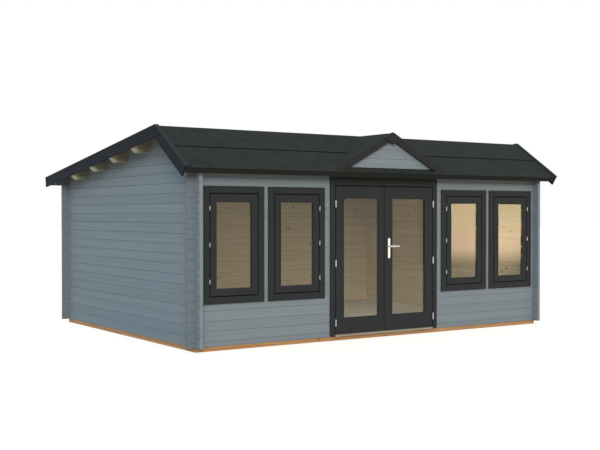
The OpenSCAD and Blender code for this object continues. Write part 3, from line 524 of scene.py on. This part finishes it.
# Frames painted darker, as painted shade in the gaps
rebate_shade_paint = painted_finish("rebate_painted_shade", REBATE_SHADE_PAINT, Z_AXIS, rough=0.6)
cap_paint = painted_finish("dark_cap", CAP_PAINT, Y_AXIS, rough=0.6)
purlin_pine = timber_finish("purlin_pine", AGED_PINE, X_AXIS, PURLIN_ROWS, light_from=PURLIN_LIGHT_FROM)
roof_pine = timber_finish("roof_board_pine", ROOM_PINE, Y_AXIS, ROOF_ROWS)
floor_pine = timber_finish("floor_board_pine", FLOOR_PINE, X_AXIS, FLOOR_ROWS)
beam_long = timber_finish("beam_timber_long", BEAM_PINE, X_AXIS, LONG_BEAM_ROWS, rough=0.8)
beam_deep = timber_finish("beam_timber_deep", BEAM_PINE, Y_AXIS, END_BEAM_ROWS, rough=0.8)
felt = felt_finish("roofing_felt")
steel = steel_finish("satin_steel", SATIN_STEEL)
hinge_steel = steel_finish("hinge_steel", HINGE_STEEL)
threshold_metal = threshold_finish("threshold_metal")
glass = glass_finish("window_glass")
pane_rubber = rubber_finish("seal_rubber", PANE_RUBBER)
gap_shade_rubber = rubber_finish("gap_shade_strip_rubber", GAP_SHADE_RUBBER)

FINISHES = {
    "foundation_long_beams": beam_long, "foundation_end_beams": beam_deep, "floor_bearers": beam_deep,
    "floor_deck": floor_pine, "front_wall_left": front_logs, "front_wall_right": front_logs,
    "front_wall_over_door": front_logs, "back_wall": front_logs, "left_wall": side_logs,
    "right_wall": side_logs, "purlins": purlin_pine, "ridge_purlin": purlin_pine,
    "roof_boards_front": roof_pine, "roof_boards_back": roof_pine, "roof_felt_front": felt,
    "roof_felt_back": felt, "front_fascia": fascia_paint, "back_fascia": fascia_paint,
    "left_barge_front": barge_paint, "left_barge_back": barge_paint, "right_barge_front": barge_paint,
    "right_barge_back": barge_paint, "barge_caps": cap_paint, "dormer_panel": panel_paint,
    "dormer_boards": roof_pine, "dormer_felt": felt, "dormer_barges": gable_paint,
    "window_trims": joinery_up, "window_frames": rebate_shade_paint, "window_sashes": joinery_up,
    "window_panes": glass, "window_hinges": hinge_steel, "door_frame": rebate_shade_paint,
    "door_trims": joinery_up, "door_threshold": threshold_metal, "door_frame_hinges": hinge_steel,
    "left_door_leaf": joinery_up, "left_door_pane": glass, "left_leaf_hinges": hinge_steel,
    "right_door_leaf": joinery_up, "right_door_pane": glass, "right_leaf_hinges": hinge_steel,
    "door_handle_plates": steel, "door_lever": steel,
}


def dress(piece, finish):
    piece.data.materials.clear()
    piece.data.materials.append(finish)


for node_name, finish in FINISHES.items():
    dress(nodes[node_name], finish)


# Modelling helpers
def clear_selection():
    if bpy.context.object is not None and bpy.context.object.mode != "OBJECT":
        bpy.ops.object.mode_set(mode="OBJECT")
    bpy.ops.object.select_all(action="DESELECT")


def pick(piece):
    clear_selection()
    piece.select_set(True)
    bpy.context.view_layer.objects.active = piece


def settle(piece):
    pick(piece)
    bpy.ops.object.transform_apply(location=True, rotation=True, scale=True)


def name_piece(piece, name):
    piece.name = name
    piece.data.name = name


def same(a, b):
    return abs(a - b) < 1e-6


# A box between two corners
def block(name, low, high):
    clear_selection()
    middle = [(a + b) / 2 for a, b in zip(low, high)]
    bpy.ops.mesh.primitive_cube_add(size=1, location=middle)
    piece = bpy.context.object
    name_piece(piece, name)
    piece.scale = [b - a for a, b in zip(low, high)]
    settle(piece)
    return piece


# Leaves the active piece in edit mode with the wanted edges selected
def select_edges(piece, wanted):
    bpy.ops.object.mode_set(mode="EDIT")
    bpy.ops.mesh.select_mode(type="EDGE")
    bpy.ops.mesh.select_all(action="DESELECT")
    bpy.ops.object.mode_set(mode="OBJECT")
    points = piece.data.vertices
    for edge in piece.data.edges:
        a, b = (points[i].co for i in edge.vertices)
        edge.select = wanted(a, b)
    bpy.ops.object.mode_set(mode="EDIT")


def ease_edges(piece, wanted, width, steps=1):
    pick(piece)
    select_edges(piece, wanted)
    bpy.ops.mesh.bevel(offset=width, segments=steps, affect="EDGES")
    bpy.ops.object.mode_set(mode="OBJECT")


def face_outwards():
    bpy.ops.mesh.select_all(action="SELECT")
    bpy.ops.mesh.normals_make_consistent(inside=False)
    bpy.ops.object.mode_set(mode="OBJECT")


def repeat(piece, count, step):
    pick(piece)
    rows = piece.modifiers.new("rows", "ARRAY")
    rows.count = count
    rows.use_relative_offset = False
    rows.use_constant_offset = True
    rows.constant_offset_displace = step
    bpy.ops.object.modifier_apply(modifier="rows")


# Cut a piece plumb at y and close the cut, keeping what lies on the inner side
def cut_upright(piece, y, side):
    pick(piece)
    bpy.ops.object.mode_set(mode="EDIT")
    bpy.ops.mesh.select_all(action="SELECT")
    bpy.ops.mesh.bisect(plane_co=(0, y, 0), plane_no=(0, side, 0), use_fill=True, clear_outer=True)
    bpy.ops.object.mode_set(mode="OBJECT")


# Floor of grooved boards in place of the plain deck
def floor_boards():
    low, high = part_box("floor_deck")
    width = (high.y - low.y) / FLOOR_COUNT
    near = (low.x, low.y + FLOOR_GAP, low.z)
    far = (high.x, low.y + width - FLOOR_GAP, high.z)
    board = block("floor_boards", near, far)

    def top_edge(a, b):
        return same(a.z, high.z) and same(b.z, high.z) and same(a.y, b.y)

    ease_edges(board, top_edge, FLOOR_GROOVE)
    repeat(board, FLOOR_COUNT, (0, width, 0))
    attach(board, "house")
    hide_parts("floor_deck")
    dress(board, floor_pine)


# Grooved roof boards that run from the ridge, where they are cut plumb, to a square end at the eave
def roof_boards(name, node, pitch, foot_y, ridge_y, top_at):
    low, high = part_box(node)
    width = (high.x - low.x) / ROOF_COUNT
    length = abs(ridge_y - foot_y) / math.cos(pitch)
    front = ridge_y > foot_y
    near, far = (0.0, length + ROOF_SPARE) if front else (-ROOF_SPARE, length)
    left, right = low.x + ROOF_GAP, low.x + width - ROOF_GAP
    board = block(name, (left, near, -BOARD_THICK), (right, far, 0.0))

    def lower_edge(a, b):
        return same(a.z, -BOARD_THICK) and same(b.z, -BOARD_THICK) and same(a.x, b.x)

    ease_edges(board, lower_edge, ROOF_GROOVE)
    repeat(board, ROOF_COUNT, (width, 0, 0))
    start = min(foot_y, ridge_y)
    board.rotation_euler = (pitch if front else -pitch, 0, 0)
    board.location = (0, start, top_at(start))
    settle(board)
    cut_upright(board, ridge_y, 1 if front else -1)
    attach(board, "house")
    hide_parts(node)
    dress(board, roof_pine)


# A sheet of felt: a strip along the slope through points (y, z), given a wavy first edge and thickness
def felt_sheet(name, profile, ripple, seed):
    draw = random.Random(seed)
    clear_selection()
    bpy.ops.mesh.primitive_plane_add(size=1)
    sheet = bpy.context.object
    name_piece(sheet, name)
    first_y = profile[0][0]
    for point in sheet.data.vertices:
        y, z = profile[1] if point.co.y > 0 else profile[0]
        point.co = (math.copysign(CAP_INNER, point.co.x), y, z)
    for (from_y, from_z), (to_y, to_z) in zip(profile[1:], profile[2:]):
        select_edges(sheet, lambda a, b: same(a.y, from_y) and same(b.y, from_y))
        bpy.ops.mesh.extrude_edges_move(TRANSFORM_OT_translate={"value": (0, to_y - from_y, to_z - from_z)})
    select_edges(sheet, lambda a, b: same(a.y, b.y))
    bpy.ops.mesh.subdivide(number_cuts=SHEET_CUTS)
    face_outwards()
    waves = [(draw.uniform(*RIPPLE_RATES), draw.uniform(*RIPPLE_STARTS)) for n in range(RIPPLE_WAVES)]
    for point in sheet.data.vertices:
        if same(point.co.y, first_y):
            rise = sum(math.sin(rate * point.co.x + start) for rate, start in waves) / len(waves)
            point.co.z += ripple * (RIPPLE_BASE + rise)
            point.co.y += ripple * RIPPLE_DEEP * rise
    if sheet.data.polygons[0].normal.z < 0:
        sheet.data.flip_normals()
    pick(sheet)
    thick = sheet.modifiers.new("thickness", "SOLIDIFY")
    thick.thickness = SHEET_THICK
    thick.offset = 1.0
    bpy.ops.object.modifier_apply(modifier="thickness")
    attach(sheet, "house")
    dress(sheet, felt)


# Felt courses: the upper one folds over the ridge, and those behind lap like scales
def felt_courses():
    curl_y = FRONT_LAP + CURL_WIDTH
    fold_y = RIDGE_Y + RIDGE_FOLD
    profile = [(FRONT_LAP, felt_front(FRONT_LAP) + SHEET_LIFT), (curl_y, felt_front(curl_y) + SHEET_LIFT),
               (RIDGE_Y, RIDGE_Z + SHEET_LIFT), (fold_y, felt_back(fold_y) + FOLD_LIFT)]
    felt_sheet("felt_ridge_course", profile, RIPPLE_FRONT, SEED_FRONT)
    for n, edge in enumerate(BACK_LAPS):
        top = max(edge - FELT_COURSE - LAP_OVER, RIDGE_Y + RIDGE_CLEAR)
        edge_z = felt_back(edge) + LAP_LIFT
        top_z = felt_back(top) + SHEET_LIFT
        curl_z = edge_z + (top_z - edge_z) * CURL_WIDTH / (edge - top)
        profile = [(edge, edge_z), (edge - CURL_WIDTH, curl_z), (top, top_z)]
        felt_sheet(f"felt_back_course_{n + 1}", profile, RIPPLE_BACK, SEED_BACK + n)


# Ring of rubber between two corners (x, z) against the front or the back of a pane or a sash: a seal on a
# pane, painted shade on a sash
def rubber_ring(name, low, high, face_y, out, body, finish, sizes):
    width, depth, ease = sizes
    clear_selection()
    middle = ((low[0] + high[0]) / 2, face_y, (low[1] + high[1]) / 2)
    bpy.ops.mesh.primitive_plane_add(size=1, location=middle, rotation=(math.pi / 2, 0, 0))
    seal = bpy.context.object
    name_piece(seal, name)
    seal.scale = (high[0] - low[0], high[1] - low[1], 1)
    settle(seal)
    bpy.ops.object.mode_set(mode="EDIT")
    bpy.ops.mesh.select_mode(type="FACE")
    bpy.ops.mesh.select_all(action="SELECT")
    bpy.ops.mesh.inset(thickness=width, depth=0)
    bpy.ops.mesh.delete(type="FACE")
    bpy.ops.mesh.select_all(action="SELECT")
    bpy.ops.mesh.extrude_region_move(TRANSFORM_OT_translate={"value": (0, out * depth, 0)})
    face_outwards()
    front = face_y + out * depth
    inner_x = (low[0] + width, high[0] - width)
    inner_z = (low[1] + width, high[1] - width)

    def inner_edge(a, b):
        if not (same(a.y, front) and same(b.y, front)):
            return False
        upright = same(a.x, b.x) and any(same(a.x, x) for x in inner_x)
        level = same(a.z, b.z) and any(same(a.z, z) for z in inner_z)
        return upright or level

    ease_edges(seal, inner_edge, ease, steps=2)
    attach(seal, body)
    dress(seal, finish)


# The span along x of each pane of a node, and the height and depth that its panes share
def pane_boxes(node):
    points = [vertex.co for vertex in nodes[node].data.vertices]
    xs, ys, zs = (sorted({round(point[axis], 5) for point in points}) for axis in (X_AXIS, Y_AXIS, Z_AXIS))
    return list(zip(xs[::2], xs[1::2])), (ys[0], ys[-1]), (zs[0], zs[-1])


# Seals on both faces of each pane
def glazing_seals():
    panes = (("window_panes", "house"), ("left_door_pane", "left_leaf"), ("right_door_pane", "right_leaf"))
    for node, body in panes:
        spans, (y0, y1), (z0, z1) = pane_boxes(node)
        faces = (("out", y0 - SEAL_SEAT, -1), ("in", y1 + SEAL_SEAT, 1))
        for n, (x0, x1) in enumerate(spans):
            low = (x0 + PANE_REBATE, z0 + PANE_REBATE)
            high = (x1 - PANE_REBATE, z1 - PANE_REBATE)
            for face, face_y, out in faces:
                name = f"{node}_seal_{n + 1}_{face}"
                rubber_ring(name, low, high, face_y, out, body, pane_rubber, PANE_SEAL)


# Dark strip of painted shade along the outer edge of each sash, where the gap round the sash is shaded
def sash_gap_shade():
    low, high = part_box("window_sashes")
    for n, (x0, x1) in enumerate(pane_boxes("window_panes")[0]):
        rubber_ring(f"window_edge_seal_{n + 1}", (x0 - SASH_STILE, low.z), (x1 + SASH_STILE, high.z),
                  low.y - SEAL_SEAT, -1, "house", gap_shade_rubber, GAP_SHADE_STRIP)


# Dark strip of painted shade along the hinge edge and the top of each leaf, where the gap round the leaf is
# shaded
def leaf_gap_shade():
    width, proud = GAP_SHADE_STRIP[:2]
    leaves = (("left_door_leaf", "left_leaf", True), ("right_door_leaf", "right_leaf", False))
    for node, body, hinged_left in leaves:
        low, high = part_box(node)
        back = low.y - SEAL_SEAT
        front = back - proud
        if hinged_left:
            side_span = (low.x, low.x + width)
            top_span = (low.x + width, high.x)
        else:
            side_span = (high.x - width, high.x)
            top_span = (low.x, high.x - width)
        side = block(f"{body}_side_gap_shade_strip", (side_span[0], front, low.z), (side_span[1], back, high.z))
        top = block(f"{body}_top_gap_shade_strip", (top_span[0], front, high.z - width), (top_span[1], back, high.z))
        for strip in (side, top):
            ease_edges(strip, lambda a, b: same(a.y, front) and same(b.y, front), STRIP_EASE)
            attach(strip, body)
            dress(strip, gap_shade_rubber)


floor_boards()
roof_boards("roof_boards_front_slope", "roof_boards_front", PITCH_FRONT,
            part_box("roof_boards_front")[0].y, RIDGE_Y, boards_front)
roof_boards("roof_boards_back_slope", "roof_boards_back", PITCH_BACK,
            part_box("roof_boards_back")[1].y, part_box("roof_boards_back")[0].y, boards_back)
felt_courses()
glazing_seals()
sash_gap_shade()
leaf_gap_shade()


# Pale floor that keeps the shadow
def lay_floor():
    clear_selection()
    bpy.ops.mesh.primitive_plane_add(size=GROUND_SIZE, location=(0, 0, 0))
    ground = bpy.context.object
    ground.name = "studio_floor"
    made, tree, shader = new_finish("studio_floor")
    shader.inputs["Roughness"].default_value = 1.0
    shader.inputs["Specular IOR Level"].default_value = 0.0
    shader.inputs["Emission Color"].default_value = WHITE
    tint = cloud(tree, object_place(tree), 0.6, detail=2.0)
    wire(tree, shader, "Base Color", blend_colours(tree, tint, *GROUND_TINTS))
    wire(tree, shader, "Emission Strength", product(tree, seen_rays(tree), GROUND_LIFT))
    dress(ground, made)


# Warm backdrop to the right of the camera, out of its sight, that shows in the panes on that side
def hang_backdrop():
    clear_selection()
    bpy.ops.mesh.primitive_plane_add(size=1)
    sheet = bpy.context.object
    sheet.name = "warm_backdrop"
    sheet.location = BACKDROP_PLACE
    sheet.rotation_euler = (math.pi / 2, 0, BACKDROP_TURN)
    sheet.scale = BACKDROP_SIZE
    made, tree = new_finish("warm_backdrop")[:2]
    across, up = axes_of(tree, object_place(tree))[:2]
    side = spread(tree, across, BACKDROP_SIDE_FADE)
    foot = spread(tree, up, BACKDROP_FOOT_FADE)
    colour = blend_colours(tree, spread(tree, up, BACKDROP_TINT_FADE), *BACKDROP_TINTS)
    glow = put(tree, "ShaderNodeEmission", {"Color": colour})
    wire(tree, glow, "Strength", product(tree, product(tree, side, foot), BACKDROP_STRENGTH))
    wire(tree, tree.nodes["Material Output"], "Surface", glow.outputs[0])
    dress(sheet, made)
    sheet.visible_camera = False
    sheet.visible_diffuse = False
    sheet.visible_transmission = False
    sheet.visible_shadow = False


# Puts a lamp or a camera into the scene
def hold(name, data):
    holder = bpy.data.objects.new(name, data)
    bpy.context.scene.collection.objects.link(holder)
    return holder


# Sky for the light that bounces, cool from the left and warm from the right, and plain white for what is seen
def hang_sky():
    world = bpy.data.worlds.new("studio")
    bpy.context.scene.world = world
    world.use_nodes = True
    tree = world.node_tree
    sky = tree.nodes["Background"]
    way = axes_of(tree, put(tree, "ShaderNodeTexCoord").outputs["Generated"])
    from_left = spread(tree, way[X_AXIS], (-1.0, 1.0))
    wire(tree, sky, "Color", blend_colours(tree, from_left, *SKY_TINTS))
    upward = spread(tree, way[Z_AXIS], WHOLE, SKY_UPWARD)
    behind = spread(tree, way[Y_AXIS], WHOLE, SKY_BEHIND)
    wire(tree, sky, "Strength", product(tree, upward, behind))
    white = put(tree, "ShaderNodeBackground", {"Color": WHITE, "Strength": 1.0})
    mixed = put(tree, "ShaderNodeMixShader", {0: seen_rays(tree), 1: sky.outputs[0], 2: white.outputs[0]})
    wire(tree, tree.nodes["World Output"], "Surface", mixed.outputs[0])


# A wide soft sun, and a faint glow that fills the room
def place_lamps():
    sun = bpy.data.lights.new("soft_sun", "SUN")
    sun.energy = SUN_ENERGY
    sun.angle = SUN_SPREAD
    sun.color = SUN_COLOUR
    hold("soft_sun", sun).rotation_euler = SUN_TURN
    room = bpy.data.lights.new("room_glow", "AREA")
    room.shape = "RECTANGLE"
    room.size, room.size_y = ROOM_SIZE
    room.energy = ROOM_ENERGY
    room.color = ROOM_COLOUR
    holder = hold("room_glow", room)
    holder.location = ROOM_PLACE
    holder.visible_camera = False
    holder.visible_glossy = False
    holder.visible_transmission = False


def place_camera():
    lens = bpy.data.cameras.new("photo_camera")
    lens.sensor_fit = "HORIZONTAL"
    lens.sensor_width = SENSOR_WIDTH
    lens.lens = SENSOR_WIDTH * FOCAL_PIXELS / PHOTO_PIXELS
    lens.clip_end = CAMERA_REACH
    holder = hold("photo_camera", lens)
    holder.location = CAMERA_PLACE
    holder.rotation_euler = CAMERA_TURN
    bpy.context.scene.camera = holder


lay_floor()
hang_backdrop()
hang_sky()
place_lamps()
place_camera()
bpy.context.scene.view_settings.view_transform = "Standard"
